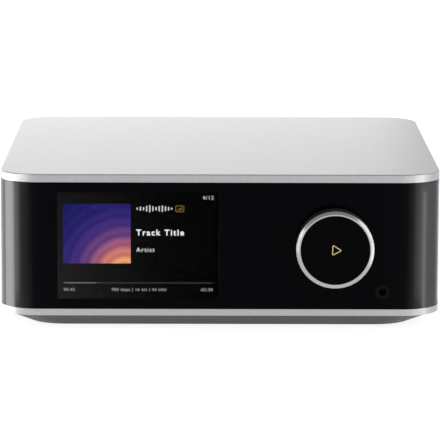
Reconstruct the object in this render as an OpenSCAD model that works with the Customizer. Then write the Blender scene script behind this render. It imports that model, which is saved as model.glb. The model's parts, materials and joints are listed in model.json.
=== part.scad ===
// Compact network music streamer with a touch display and one large turn and push knob.
// Millimetres. +X is the right of the front, +Y the back, +Z up. The foot stands on z = 0.

/* [Case] */
// Width of the case
case_w = 205; // [204:1:230]
// Depth of the case
case_d = 205; // [204:1:230]
// Height from the foot to the top
total_h = 73; // [72:0.5:84]
// Radius of the upright corners
case_corner_r = 18; // [14:0.5:20]
// Thickness of the side walls
case_wall = 2.5; // [2.2:0.1:3]
// Thickness of the top
case_top_t = 3; // [2.5:0.1:3.4]
// Rounding of the top edge
case_edge_r = 0.5; // [0.4:0.1:1.4]
// Bright band above the front panel
upper_band_h = 3.75; // [3.6:0.05:5]
// Bright band below the front panel
lower_band_h = 3.05; // [2.6:0.05:4]

/* [Base] */
// Height of the case underside above the floor
base_h = 6.7; // [6.2:0.1:9]
// Step of the base inside the case at its top
base_top_inset = 1.6; // [1:0.1:2.4]
// Step of the base inside the case at its bottom
base_bottom_inset = 12.3; // [11:0.1:13]
// Corner radius of the base at its bottom
base_bottom_r = 17.5; // [15:0.5:22]
// Thickness of the floor of the base
base_floor_t = 2; // [1.8:0.1:2.4]
// Width of the foot ring
foot_w = 8; // [7:0.5:10]
// Height that the foot ring stands out
foot_proud = 0.3; // [0.2:0.1:0.6]
// Depth of the groove that holds the foot ring
foot_groove = 1; // [0.8:0.1:1.2]
// Thickness of the chassis plate
plate_t = 1.5; // [1.2:0.1:2]

/* [Front panel] */
// Step of the panel face behind the case edge
panel_recess = 0.3; // [0.2:0.05:0.5]
// Corner radius of the two panel ends
panel_end_r = 3; // [2:0.5:5]
// Gap between the panel and the case
panel_gap = 0.1; // [0.05:0.05:0.2]
// Width of the picture window
screen_w = 75; // [72:0.5:78]
// Height of the picture window
screen_h = 50; // [46:0.5:51]
// Distance from the left side of the case to the picture window
screen_margin = 27; // [25:0.5:29]
// Thickness of the touch glass
touch_t = 0.8; // [0.6:0.1:1]
// Frame of the display module around the picture
display_frame = 3; // [2:0.1:3.2]
// Thickness of the display module behind the panel
display_t = 3.5; // [3:0.1:4]
// Thickness of the front bracket
bracket_t = 2; // [1.6:0.1:2.4]
// Depth of the foot of the front bracket
bracket_foot_d = 10; // [9:0.5:12]

/* [Knob] */
// Distance from the right side of the case to the knob axis
knob_margin = 49.5; // [48:0.5:51]
// Diameter of the knob
knob_dia = 35.9; // [34:0.1:38]
// Depth of the knob
knob_h = 10.4; // [9.8:0.1:12]
// Gap between the knob and the panel
knob_gap = 1.2; // [1:0.1:2]
// Radial width of the bright ring
ring_w = 1.85; // [1.6:0.05:2.6]
// Depth of the bright ring
ring_h = 2.4; // [2.2:0.1:2.8]
// Depth of the bevel on the bright ring
ring_bevel = 1.25; // [1:0.05:1.8]
// Width of the flat lip inside the bevel
ring_lip = 0.6; // [0.4:0.05:1]
// Thickness of the face disc
knob_face_t = 1.2; // [1:0.1:1.4]
// Step of the face disc behind the bright ring
knob_face_sink = 0.4; // [0.2:0.1:0.6]
// Wall of the knob
knob_wall = 1.8; // [1.5:0.1:2.4]
// Diameter of the encoder shaft
shaft_dia = 6; // [5:0.5:6]
// Travel of the push switch
push_travel = 0.6; // [0.4:0.1:0.8]

/* [Headphone socket] */
// Distance from the right side of the case to the headphone socket
jack_margin = 27; // [26:0.5:28]
// Height of the headphone socket above the panel edge
jack_rise = 8.05; // [7.5:0.05:9]
// Bore of the 3.5 mm sockets
jack_bore_dia = 3.6; // [3.5:0.05:3.7]
// Outer diameter of the headphone bezel
bezel_dia = 6.8; // [6.4:0.1:7.4]

/* [Boards] */
// Thickness of the circuit boards
pcb_t = 1.6; // [1.2:0.1:2]
// Height of the board pillars
standoff_h = 8; // [7.6:0.2:9]
// Space between the board edges and the side screws
board_margin = 20.5; // [20:0.5:22]
// Gap between the two boards
board_split = 6; // [4:1:8]

/* [Rear panel] */
// Thickness of the rear panel
rear_t = 2; // [1.6:0.1:2.4]
// Width of the rear opening
rear_open_w = 160; // [159:0.5:162]
// Height of the rear opening
rear_open_h = 41; // [40:0.5:42]
// Distance between neighbouring rows of round sockets
phono_pitch_x = 14; // [14:0.1:14.1]
// Height between the two sockets of a pair
phono_pitch_z = 15; // [14:0.5:16]
// Outer diameter of the round sockets
phono_dia = 8.3; // [8.2:0.05:8.4]
// Length of the round sockets outside the panel
phono_len = 9.5; // [9:0.1:10]
// Hole for the centre pin of a round plug
phono_hole_dia = 3.2; // [3.1:0.05:3.3]
// Diameter of the earth post
earth_dia = 4; // [3.5:0.5:4]
// Length of the earth post outside the panel
earth_len = 13.8; // [12:0.1:16]

/* [Fits] */
// Radial clearance of turning pieces
run_clear = 0.04; // [0.03:0.01:0.06]
// Clearance around pieces that are set in an opening
set_clear = 0.05; // [0.03:0.01:0.1]
// Clearance of the sockets in the rear panel
port_clear = 0.25; // [0.2:0.05:0.3]
// Diameter of the screw shanks
screw_dia = 2.4; // [2.2:0.1:2.6]
// Diameter of the screw heads
screw_head_dia = 5.5; // [5:0.1:5.6]
// Height of the screw heads
screw_head_h = 1.6; // [1.4:0.1:1.8]

/* [Hidden] */
$fn = 64;
half_w = case_w/2;
half_d = case_d/2;
front_y = -half_d;
inner_w = half_w - case_wall;
rear_y1 = half_d - case_wall;
rear_y0 = rear_y1 - rear_t;
win_z0 = base_h + lower_band_h;
win_z1 = total_h - upper_band_h;
win_h = win_z1 - win_z0;
win_zc = (win_z0 + win_z1)/2;
seam_y = front_y + case_corner_r;
panel_face_y = front_y + panel_recess;
panel_back_y = front_y + case_wall;
bracket_y1 = panel_back_y + bracket_t;
bracket_half = half_w - case_corner_r - 0.5;
bracket_screw_x = [-bracket_half + 24, 0, bracket_half - 24];
bracket_screw_y = bracket_y1 + 6;
bracket_foot_t = 2;
plate_z1 = base_h + plate_t;
board_z0 = plate_z1 + standoff_h;
board_z1 = board_z0 + pcb_t;
screen_x = -half_w + screen_margin + screen_w/2;
display_w = screen_w + 2*display_frame + 3;
display_h = screen_h + 2*display_frame;
knob_x = half_w - knob_margin;
knob_r = knob_dia/2;
knob_back_y = panel_face_y - knob_gap;
knob_front_y = knob_back_y - knob_h;
ring_back_y = knob_front_y + ring_h;
ring_inner_r = knob_r - ring_w;
face_front_y = knob_front_y + knob_face_sink;
face_back_y = face_front_y + knob_face_t;
shaft_r = shaft_dia/2;
shaft_front_y = face_back_y + 1.2;
bush_r = 3.5;
bush_front_y = panel_face_y - 0.8;
encoder_half = 6.5;
encoder_y1 = bracket_y1 + 7.5;
cavity_y1 = encoder_y1 - 0.8;
plunger_y1 = cavity_y1 - push_travel - 0.3;
plunger_y0 = plunger_y1 - 1.8;
boss_back_y = knob_back_y - 1;
boss_r = shaft_r + 2;
hub_y = face_back_y + 3;
jack_x = half_w - jack_margin;
jack_z = win_z0 + jack_rise;
jack_r = jack_bore_dia/2;
jack_half = 3;
jack_board_z1 = jack_z - jack_half;
control_w = 40;
control_half = 18.5;
control_post_x = 16;
control_post_z = 14;
control_post_r = 2.5;
jack_len = 14;
jack_depth = 12;
jack_shelf_w = 13;
jack_shelf_d = 8;
jack_board_w = 14;
jack_board_d = 18;
nut_r = 6.3;
nut_h = 2;
nut_hole_r = 8;
screw_r = screw_dia/2;
head_r = screw_head_dia/2;
pass_r = screw_r + 0.4;
tap_r = screw_r + 0.05;
lug_x = half_w - 12.5;
lug_y = half_d - 30.5;
lug_w = 10;
lug_h = 10;
plinth_screw_x = half_w - 20;
plinth_screw_y = 40;
foot_out = half_w - base_bottom_inset - 3.7;
foot_out_d = half_d - base_bottom_inset - 3.7;
foot_top_z = foot_proud + foot_groove;
floor_z1 = foot_proud + base_floor_t;
main_x1 = half_w - board_margin;
main_y1 = rear_y0 - 0.5;
main_back_d = 63.5;
main_front = 42.5;
main_back_y0 = main_y1 - main_back_d;
main_front_y0 = front_y + main_front;
main_left_x = 8 - rear_open_w/2;
split_x = screen_x + display_w/2 - 11;
main_x0 = split_x + board_split/2;
power_x1 = split_x - board_split/2;
power_x0 = -half_w + board_margin;
power_front = 20.5;
board_step = 8;
power_y0 = front_y + power_front;
power_y1 = main_back_y0 - board_step;
main_pillars = [
  [main_left_x + 8, main_y1 - 25], [main_left_x + 8, main_back_y0 + 8], [main_x1 - 6, main_y1 - 21],
  [main_x1 - 6, main_front_y0 + 12], [main_x0 + 12, main_front_y0 + 20]];
power_pillars = [
  [power_x0 + 6, power_y0 + 6], [power_x1 - 6, power_y0 + 6],
  [power_x0 + 6, power_y1 - 6], [power_x1 - 6, power_y1 - 6]];
rear_z0 = board_z0 - 1.7;
rear_zc = rear_z0 + rear_open_h/2;
rear_half = rear_open_w/2;
rear_panel_w = case_w - 2*case_corner_r - 1;
rear_panel_z1 = rear_z0 + rear_open_h + 6.5;
rear_tab_x = rear_panel_w/2 - 9;
rear_tab_z = plate_z1 + 3.5;
rear_screw_len = 8;
earth_x = rear_half - 6.5;
earth_r = earth_dia/2;
earth_nut_r = 4.5;
washer_t = 1;
phono_x = earth_x - 11.5;
phono_cols = [for (i = [0:3]) phono_x - i*phono_pitch_x];
phono_z0 = board_z1 + 8.2;
phono_z1 = phono_z0 + phono_pitch_z;
phono_zc = (phono_z0 + phono_z1)/2;
phono_block_w = 13.5;
phono_block_h = phono_pitch_z + 15;
phono_boss_r = 5.2;
phono_r = phono_dia/2;
phono_core_r = phono_r - 0.65;
phono_root_y = rear_y1 - 1.5;
phono_root_r = phono_r - 0.25;
inlet_side = 13;
trigger_side = 21.5;
network_side = 33.5;
data_side = 49;
video_side = 64;
optical_out_side = 77.5;
optical_in_side = 88;
inlet_rise = 28.2;
trigger_rise = 3.2;
inlet_x = -rear_half + inlet_side;
inlet_z = board_z1 + inlet_rise;
trigger_x = -rear_half + trigger_side;
trigger_z = board_z1 + trigger_rise;
trigger_w = 6.6;
trigger_d = 12;
trigger_h = 6.4;
trigger_neck_r = 3;
trigger_bore_d = 13;
network_x = -rear_half + network_side;
data_x = -rear_half + data_side;
video_x = -rear_half + video_side;
optical_out_x = -rear_half + optical_out_side;
optical_in_x = -rear_half + optical_in_side;
port_y1 = rear_y1 + 0.4;
flap_z = board_z1 + 8.3;
flap_set = 3;
flap_y = rear_y1 - flap_set;
flap_drop = 6.5;
lead_r = 2;
lead_bend_r = 5;
plug_h = 7;
power_plug_x = power_x1 - 7;
main_plug_x = main_x0 + 7;
mains_plug_y = power_y1 - 17;
heat_x = (main_plug_x + main_x1 - 5)/2;
heat_y = 15;
chip_w = 15;
chip_h = 1.4;
sink_w = 44;
sink_base_t = 3;
fin_t = 1.5;
fin_h = 13.5;
radio_w = 20;
radio_d = 16;
radio_h = 2.6;
radio_gap = 11;
converter_w = 34;
converter_d = 26;
converter_h = 5;
converter_back = 20;
ribbon_t = 0.3;
ribbon_plug_y = main_front_y0 + 1;
ribbon_plug_d = 5;
ribbon_plug_side = 3;
board_screw_grip = 5;
display_ribbon_side = 4;
display_ribbon_x = main_x0 + display_ribbon_side;
display_ribbon_w = 7;
display_plug_h = 2;
control_ribbon_w = 14;
control_plug_h = 3;
control_ribbon_rise = 5;
display_ribbon_rise = 12;
lead_plug_w = 6;
lead_plug_d = 8;
mains_plug_w = 10;
antenna_w = 40;
antenna_h = 6;
antenna_t = 1;
antenna_rise = 8.6;
core_w = 30;
core_d = 26;
core_h = 14;
coil_w = 22;
coil_rise = 4;
core_side = 16;
mains_cap_r = 9;
mains_cap_h = 30;
mains_cap_front = 32;
mains_cap_x = power_x0 + 16;
mains_cap_y = power_y0 + mains_cap_front;
core_front = mains_cap_front + mains_cap_r + 1.5;
output_cap_r = 4;
output_cap_h = 16;
output_cap_gap = 2;
output_cap_x = power_x1 - 8;
output_cap_y = power_y0 + 20;
network_w = 16;
network_d = 16;
network_h = 13.4;
data_w = 13.2;
data_d = 14;
data_h = 5.9;
video_w = 15.2;
video_d = 12;
video_h = 5.8;
optical_w = 9.7;
optical_d = 16;
optical_depth = 12.4;
optical_h = 10;
inlet_w = 20;
inlet_h = 10;
inlet_d = 16;
inlet_flange = 1;
inlet_pin_x = 4.3;
inlet_pin_r = 1.2;

// Rectangle with round corners, centred.
module rounded_rect(w, d, r) {
  square([w - 2*r, d], center = true);
  square([w, d - 2*r], center = true);
  for (x = [-1, 1], y = [-1, 1])
    translate([x*(w/2 - r), y*(d/2 - r)])
      circle(r);
}

// Outline of the case in plan, drawn in by an even step.
module case_outline(inset) {
  rounded_rect(case_w - 2*inset, case_d - 2*inset, case_corner_r - inset);
}

// Block between two opposite corners.
module block(a, b) {
  translate(a)
    cube(b - a);
}

// Round bar along Y.
module rod_y(x, z, y0, y1, r) {
  translate([x, y0, z])
    rotate([-90, 0, 0])
      cylinder(r = r, h = y1 - y0);
}

// Round bar along Z.
module rod_z(x, y, z0, z1, r) {
  translate([x, y, z0])
    cylinder(r = r, h = z1 - z0);
}

// Upright slice through the case from its middle to one side, with the rounded top edge.
module edge_profile(reach) {
  h = total_h - base_h;
  square([reach, h - case_edge_r]);
  square([reach - case_edge_r, h]);
  translate([reach - case_edge_r, h - case_edge_r])
    circle(case_edge_r);
}

// Solid block of the case with rounded corners and a rounded top edge.
module case_block() {
  flat_w = case_w - 2*case_corner_r;
  flat_d = case_d - 2*case_corner_r;
  for (x = [-1, 1], y = [-1, 1])
    translate([x*flat_w/2, y*flat_d/2, base_h])
      rotate_extrude()
        edge_profile(case_corner_r);
  translate([-flat_w/2, 0, base_h])
    rotate([90, 0, 90])
      linear_extrude(flat_w)
        for (m = [0, 1])
          mirror([m, 0])
            edge_profile(half_d);
  translate([0, flat_d/2, base_h])
    rotate([90, 0, 0])
      linear_extrude(flat_d)
        for (m = [0, 1])
          mirror([m, 0])
            edge_profile(half_w);
}

// Space that the wrap-around front panel takes out of the case.
module window_space(gap) {
  reach = seam_y - front_y + 20;
  translate([-half_w - 1, seam_y - reach/2, win_zc])
    rotate([90, 0, 90])
      linear_extrude(case_w + 2)
        rounded_rect(reach - 2*gap, win_h - 2*gap, panel_end_r - gap);
}

// Positions of the four screws that hold the case down.
module at_lugs() {
  for (x = [-lug_x, lug_x], y = [-lug_y, lug_y])
    translate([x, y, 0])
      children();
}

module case_shell() {
  lug_in = lug_x - 5;
  color("silver")
    difference() {
      union() {
        difference() {
          case_block();
          translate([0, 0, base_h - 1])
            linear_extrude(total_h - case_top_t - base_h + 1)
              case_outline(case_wall);
        }
        for (x = [-1, 1], y = [-lug_y, lug_y])
          translate([x*(lug_in + inner_w + 0.5)/2, y, plate_z1 + lug_h/2])
            cube([inner_w + 0.5 - lug_in, lug_w, lug_h], center = true);
      }
      window_space(0);
      translate([0, half_d + 1, rear_zc])
        rotate([90, 0, 0])
          linear_extrude(case_wall + 2)
            rounded_rect(rear_open_w, rear_open_h, 6);
      at_lugs()
        rod_z(0, 0, plate_z1 - 1, plate_z1 + 8, tap_r);
    }
}

module front_panel() {
  color("#101114")
    difference() {
      intersection() {
        translate([0, 0, win_z0])
          linear_extrude(win_h)
            difference() {
              case_outline(panel_recess);
              case_outline(case_wall);
            }
        window_space(panel_gap);
      }
      block([screen_x - screen_w/2, front_y - 1, win_zc - screen_h/2],
            [screen_x + screen_w/2, panel_back_y + 1, win_zc + screen_h/2]);
      rod_y(knob_x, win_zc, front_y - 1, panel_back_y + 1, nut_hole_r);
      rod_y(jack_x, jack_z, front_y - 1, panel_back_y + 1, bezel_dia/2 + set_clear);
    }
}

// Plate as large as the picture window less the set-in clearance.
module screen_block(y0, y1) {
  block([screen_x - screen_w/2 + set_clear, y0, win_zc - screen_h/2 + set_clear],
        [screen_x + screen_w/2 - set_clear, y1, win_zc + screen_h/2 - set_clear]);
}

module touch_glass() {
  color("#20242c")
    screen_block(panel_face_y, panel_face_y + touch_t);
}

module display_module() {
  color("#2c2f36") {
    screen_block(panel_face_y + touch_t + 0.1, panel_back_y + 0.5);
    block([screen_x - display_w/2, panel_back_y, win_zc - display_h/2],
          [screen_x + display_w/2, panel_back_y + display_t, win_zc + display_h/2]);
  }
}

module front_bracket() {
  foot_y1 = bracket_y1 + bracket_foot_d;
  foot_z1 = plate_z1 + bracket_foot_t;
  color("#33363b")
    difference() {
      union() {
        block([-bracket_half, panel_back_y, plate_z1], [bracket_half, bracket_y1, total_h - case_top_t - 0.2]);
        block([-bracket_half, bracket_y1 - 1, plate_z1], [bracket_half, foot_y1, foot_z1]);
        for (x = [-control_post_x, control_post_x], z = [-control_post_z, control_post_z])
          rod_y(knob_x + x, win_zc + z, bracket_y1 - 1, encoder_y1, control_post_r);
        block([jack_x - jack_shelf_w/2, bracket_y1 - 1, foot_z1 - 1],
              [jack_x + jack_shelf_w/2, bracket_y1 + jack_shelf_d, jack_board_z1 - pcb_t]);
      }
      block([screen_x - display_w/2 - set_clear, panel_back_y - 1, win_zc - display_h/2 - set_clear],
            [screen_x + display_w/2 + set_clear, bracket_y1 + 1, win_zc + display_h/2 + set_clear]);
      rod_y(knob_x, win_zc, panel_back_y - 1, bracket_y1 + 1, bush_r + set_clear);
      block([jack_x - jack_half - 0.7, panel_back_y - 1, jack_board_z1 - pcb_t],
            [jack_x + jack_half + 0.7, bracket_y1 + 1, jack_z + jack_half + 0.2]);
      for (x = bracket_screw_x)
        rod_z(x, bracket_screw_y, plate_z1 - 1, foot_z1 + 1, pass_r);
    }
}

// Pan head screw along +Z with its head on top and the head's seat at z = 0.
module pan_screw(len) {
  rod_z(0, 0, -len, 0.2, screw_r);
  rod_z(0, 0, 0, screw_head_h, head_r);
}

module bracket_screws() {
  color("#7d8085")
    for (x = bracket_screw_x)
      translate([x, bracket_screw_y, plate_z1 + bracket_foot_t])
        pan_screw(bracket_foot_t + plate_t - 0.2);
}

module headphone_bezel() {
  color("#26272a")
    difference() {
      rod_y(jack_x, jack_z, panel_face_y - 0.2, panel_back_y, bezel_dia/2);
      rod_y(jack_x, jack_z, front_y - 1, panel_back_y + 1, jack_r);
    }
}

module headphone_socket() {
  color("#151517")
    difference() {
      block([jack_x - jack_half - 0.5, panel_back_y, jack_z - jack_half],
            [jack_x + jack_half + 0.5, panel_back_y + jack_len, jack_z + jack_half]);
      rod_y(jack_x, jack_z, panel_back_y - 1, panel_back_y + jack_depth, jack_r);
    }
}

module headphone_board() {
  color("#1f6b45")
    block([jack_x - jack_board_w/2, bracket_y1 + 0.3, jack_board_z1 - pcb_t],
          [jack_x + jack_board_w/2, bracket_y1 + jack_board_d, jack_board_z1]);
}

// Outline of the flatted shaft, with a clearance all round.
module flat_shaft(clear) {
  difference() {
    circle(shaft_r + clear);
    translate([-shaft_r - 1, shaft_r*0.5 + clear])
      square([2*shaft_r + 2, shaft_r + 1]);
  }
}

// Turns a shape drawn along +Z so that it points out of the front, on the knob axis.
module on_knob(y) {
  translate([knob_x, y, win_zc])
    rotate([90, 0, 0])
      children();
}

module knob_shell() {
  color("#1b1c1f")
    difference() {
      union() {
        difference() {
          rod_y(knob_x, win_zc, ring_back_y, knob_back_y, knob_r);
          rod_y(knob_x, win_zc, hub_y, knob_back_y + 1, knob_r - knob_wall);
        }
        rod_y(knob_x, win_zc, face_back_y, hub_y, ring_inner_r - set_clear);
        rod_y(knob_x, win_zc, hub_y - 0.5, boss_back_y, boss_r);
      }
      on_knob(boss_back_y + 1)
        linear_extrude(boss_back_y + 1 - shaft_front_y + 0.05)
          flat_shaft(0.02);
    }
}

module knob_trim_ring() {
  color("#d5d6d9")
    on_knob(ring_back_y)
      rotate_extrude()
        polygon([
          [ring_inner_r, 0],
          [knob_r, 0],
          [knob_r, ring_h - ring_bevel],
          [ring_inner_r + ring_lip, ring_h],
          [ring_inner_r, ring_h]
        ]);
}

module knob_face() {
  color("#0c0d0f")
    rod_y(knob_x, win_zc, face_front_y, face_back_y, ring_inner_r - set_clear);
}

module encoder_shaft() {
  color("#b9bbbf") {
    rod_y(knob_x, win_zc, bush_front_y - 1, plunger_y0, shaft_r);
    on_knob(bush_front_y - 0.5)
      linear_extrude(bush_front_y - 0.5 - shaft_front_y)
        flat_shaft(0);
  }
}

module encoder_body() {
  color("#9a9da1")
    difference() {
      union() {
        block([knob_x - encoder_half, bracket_y1, win_zc - encoder_half],
              [knob_x + encoder_half, encoder_y1, win_zc + encoder_half]);
        rod_y(knob_x, win_zc, bush_front_y, bracket_y1 + 1, bush_r);
      }
      rod_y(knob_x, win_zc, bush_front_y - 1, cavity_y1, shaft_r + run_clear);
    }
}

module encoder_nut() {
  color("#c4c6c9")
    on_knob(panel_back_y)
      difference() {
        cylinder(r = nut_r, h = nut_h, $fn = 6);
        translate([0, 0, -1])
          cylinder(r = bush_r + set_clear, h = nut_h + 2);
      }
}

module switch_plunger() {
  color("#e6e6e2")
    rod_y(knob_x, win_zc, plunger_y0, plunger_y1, shaft_r - 0.1);
}

module control_board() {
  color("#1f6b45")
    block([knob_x - control_w/2, encoder_y1, win_zc - control_half],
          [knob_x + control_w/2, encoder_y1 + pcb_t, win_zc + control_half]);
}

// Flat ribbon from an upright face at y to the top of a plug on the main board.
module ribbon(x, w, y, plug_z, rise) {
  block([x - w/2, y, plug_z], [x + w/2, y + ribbon_t, plug_z + rise]);
  block([x - w/2, y, plug_z], [x + w/2, ribbon_plug_y + ribbon_plug_d, plug_z + ribbon_t]);
}

module control_ribbon() {
  color("#d9d3bd")
    ribbon(knob_x, control_ribbon_w, encoder_y1 + pcb_t, board_z1 + control_plug_h, control_ribbon_rise);
}

module display_ribbon() {
  color("#c9b27a")
    ribbon(display_ribbon_x, display_ribbon_w, panel_back_y + display_t, board_z1 + display_plug_h,
           display_ribbon_rise);
}

module base_plate() {
  color("#8e9196")
    difference() {
      union() {
        translate([0, 0, base_h])
          linear_extrude(plate_t)
            case_outline(case_wall + 0.2);
        for (p = concat(main_pillars, power_pillars))
          rod_z(p[0], p[1], plate_z1 - 0.5, board_z0, 3);
        for (x = [-plinth_screw_x, plinth_screw_x], y = [-plinth_screw_y, plinth_screw_y])
          rod_z(x, y, plate_z1 - 0.5, plate_z1 + 4, 3);
        for (x = [-rear_tab_x, rear_tab_x])
          block([x - 5, rear_y0 - 8, plate_z1 - 0.5], [x + 5, rear_y0, plate_z1 + 6.8]);
      }
      at_lugs()
        rod_z(0, 0, base_h - 1, plate_z1 + 1, pass_r);
      for (p = concat(main_pillars, power_pillars))
        rod_z(p[0], p[1], board_z0 - 6.5, board_z0 + 1, tap_r);
      for (x = [-plinth_screw_x, plinth_screw_x], y = [-plinth_screw_y, plinth_screw_y])
        rod_z(x, y, base_h - 1, plate_z1 + 3, tap_r);
      for (x = bracket_screw_x)
        rod_z(x, bracket_screw_y, base_h - 1, plate_z1 + 1, tap_r);
      for (x = [-rear_tab_x, rear_tab_x])
        rod_y(x, rear_tab_z, rear_y0 - 7, rear_y0 + 1, tap_r);
    }
}

module base_screws() {
  color("#55585c")
    at_lugs()
      translate([0, 0, base_h])
        rotate([180, 0, 0])
          pan_screw(plate_t + 7);
}

module base_plinth() {
  inner_top = base_top_inset + 3.5;
  inner_bottom = base_bottom_inset + 1.2;
  color("#4a4c50")
    difference() {
      union() {
        difference() {
          hull() {
            translate([0, 0, base_h - 0.02])
              linear_extrude(0.02)
                case_outline(base_top_inset);
            translate([0, 0, foot_proud])
              linear_extrude(0.02)
                rounded_rect(case_w - 2*base_bottom_inset, case_d - 2*base_bottom_inset, base_bottom_r);
          }
          hull() {
            translate([0, 0, base_h])
              linear_extrude(0.02)
                case_outline(inner_top);
            translate([0, 0, floor_z1])
              linear_extrude(0.02)
                rounded_rect(case_w - 2*inner_bottom, case_d - 2*inner_bottom, base_bottom_r - 1.2);
          }
        }
        for (x = [-plinth_screw_x, plinth_screw_x], y = [-plinth_screw_y, plinth_screw_y])
          rod_z(x, y, floor_z1 - 0.5, base_h, 5);
      }
      foot_shape(foot_proud - 1, foot_top_z, 0);
      for (x = [-plinth_screw_x, plinth_screw_x], y = [-plinth_screw_y, plinth_screw_y])
        translate([x, y, 0]) {
          rod_z(0, 0, foot_top_z - 0.1, foot_top_z + screw_head_h + 0.1, head_r + 0.2);
          rod_z(0, 0, foot_top_z, base_h + 1, pass_r);
        }
    }
}

// Ring that follows the underside of the base.
module foot_shape(z0, z1, clear) {
  translate([0, 0, z0])
    linear_extrude(z1 - z0)
      difference() {
        rounded_rect(2*foot_out - 2*clear, 2*foot_out_d - 2*clear, 14 - clear);
        rounded_rect(2*foot_out - 2*foot_w + 2*clear, 2*foot_out_d - 2*foot_w + 2*clear, 14 - foot_w + clear);
      }
}

module plinth_screws() {
  color("#55585c")
    for (x = [-plinth_screw_x, plinth_screw_x], y = [-plinth_screw_y, plinth_screw_y])
      translate([x, y, foot_top_z + screw_head_h + 0.1])
        rotate([180, 0, 0])
          pan_screw(base_h + plate_t + 2 - foot_top_z - screw_head_h);
}

module foot_ring() {
  color("#1a1a1b")
    foot_shape(0, foot_top_z, set_clear);
}

// Hole for a box-shaped socket in the rear panel.
module port_hole(x, w, z0, h) {
  block([x - w/2 - port_clear, rear_y0 - 1, z0 - port_clear], [x + w/2 + port_clear, rear_y1 + 1, z0 + h + port_clear]);
}

// Countersunk screw along +Y with its head flush at y.
module flush_screw(x, z, y, clear, len) {
  rod_y(x, z, y - len, y, screw_r + clear);
  translate([x, y - 1.3, z])
    rotate([-90, 0, 0])
      cylinder(r1 = screw_r + clear, r2 = screw_r + 1.2 + clear, h = 1.3);
}

module rear_panel() {
  color("#17181a")
    difference() {
      block([-rear_panel_w/2, rear_y0, plate_z1], [rear_panel_w/2, rear_y1, rear_panel_z1]);
      for (x = phono_cols) {
        for (z = [phono_z0, phono_z1])
          rod_y(x, z, rear_y0 - 1, rear_y1 + 1, phono_boss_r + 0.1);
        flush_screw(x, phono_zc, rear_y1 + 0.01, 0.1, rear_t + 1);
      }
      rod_y(earth_x, phono_zc, rear_y0 - 1, rear_y1 + 1, earth_r + set_clear);
      rod_y(trigger_x, trigger_z, rear_y0 - 1, rear_y1 + 1, trigger_neck_r + 0.1);
      port_hole(inlet_x, inlet_w, inlet_z - inlet_h/2, inlet_h);
      port_hole(network_x, network_w, board_z1, network_h);
      port_hole(data_x, data_w, board_z1, data_h);
      port_hole(video_x, video_w, board_z1, video_h);
      port_hole(optical_out_x, optical_w, board_z1, optical_h);
      port_hole(optical_in_x, optical_w, board_z1, optical_h);
      for (x = [-rear_tab_x, rear_tab_x])
        flush_screw(x, rear_tab_z, rear_y1 + 0.01, 0.1, rear_t + 1);
    }
}

module rear_panel_screws() {
  color("#55585c")
    for (x = [-rear_tab_x, rear_tab_x])
      flush_screw(x, rear_tab_z, rear_y1, 0, rear_screw_len);
}

module jack_screws() {
  color("#8a8c90")
    for (x = phono_cols)
      difference() {
        flush_screw(x, phono_zc, rear_y1, 0, 8);
        for (a = [0, 90])
          translate([x, rear_y1, phono_zc])
            rotate([0, a, 0])
              cube([2.8, 1.2, 0.6], center = true);
      }
}

// Board with clearance holes over its pillars.
module board_holes(pillars) {
  for (p = pillars)
    rod_z(p[0], p[1], board_z0 - 1, board_z1 + 1, pass_r);
}

module main_board() {
  color("#1d5c3d")
    difference() {
      union() {
        block([main_left_x, main_back_y0, board_z0], [main_x1, main_y1, board_z1]);
        block([main_x0, main_front_y0, board_z0], [main_x1, main_back_y0 + 1, board_z1]);
      }
      board_holes(main_pillars);
    }
}

module main_board_screws() {
  color("#8a8c90")
    for (p = main_pillars)
      translate([p[0], p[1], board_z1])
        pan_screw(pcb_t + board_screw_grip);
}

// Block on top of the main board, centred at x and y.
module on_board(x, y, z, w, d, h) {
  block([x - w/2, y - d/2, board_z1 + z], [x + w/2, y + d/2, board_z1 + z + h]);
}

module processor() {
  color("#222326")
    on_board(heat_x, heat_y, 0, chip_w, chip_w, chip_h);
}

module heat_sink() {
  color("#3a3c40") {
    on_board(heat_x, heat_y, chip_h, sink_w, sink_w, sink_base_t);
    for (i = [-4:4])
      on_board(heat_x + i*(sink_w - fin_t)/8, heat_y, chip_h + sink_base_t - 0.5, fin_t, sink_w, fin_h);
  }
}

module radio_shield() {
  color("#c8cacc")
    on_board(heat_x, heat_y - sink_w/2 - radio_d/2 - radio_gap, 0, radio_w, radio_d, radio_h);
}

module converter_shield() {
  color("#c8cacc")
    on_board(heat_x + 1, main_y1 - converter_back - converter_d/2, 0, converter_w, converter_d, converter_h);
}

// Plug blocks that the ribbons and leads end in.
module board_connectors() {
  ribbon_yc = ribbon_plug_y + ribbon_plug_d/2;
  color("#e4e0d2") {
    on_board(display_ribbon_x, ribbon_yc, 0, display_ribbon_w + ribbon_plug_side, ribbon_plug_d, display_plug_h);
    on_board(knob_x, ribbon_yc, 0, control_ribbon_w + ribbon_plug_side, ribbon_plug_d, control_plug_h);
    for (x = [power_plug_x, main_plug_x])
      on_board(x, 0, 0, lead_plug_w, lead_plug_d, plug_h);
    on_board(inlet_x, mains_plug_y, 0, mains_plug_w, lead_plug_d, plug_h);
  }
}

// Flat aerial on the inside of the rear panel.
module antenna(x, z) {
  color("#2a2a2c")
    block([x - antenna_w/2, rear_y0 - antenna_t, z], [x + antenna_w/2, rear_y0, z + antenna_h]);
}

module antenna_left() {
  antenna(phono_x - 2.4*phono_pitch_x, board_z1 + phono_block_h + 0.6);
}

module antenna_right() {
  antenna((network_x + optical_out_x)/2, board_z1 + network_h + antenna_rise);
}

module power_board() {
  color("#b79a55")
    difference() {
      block([power_x0, power_y0, board_z0], [power_x1, power_y1, board_z1]);
      board_holes(power_pillars);
    }
}

module power_board_screws() {
  color("#8a8c90")
    for (p = power_pillars)
      translate([p[0], p[1], board_z1])
        pan_screw(pcb_t + board_screw_grip);
}

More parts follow.
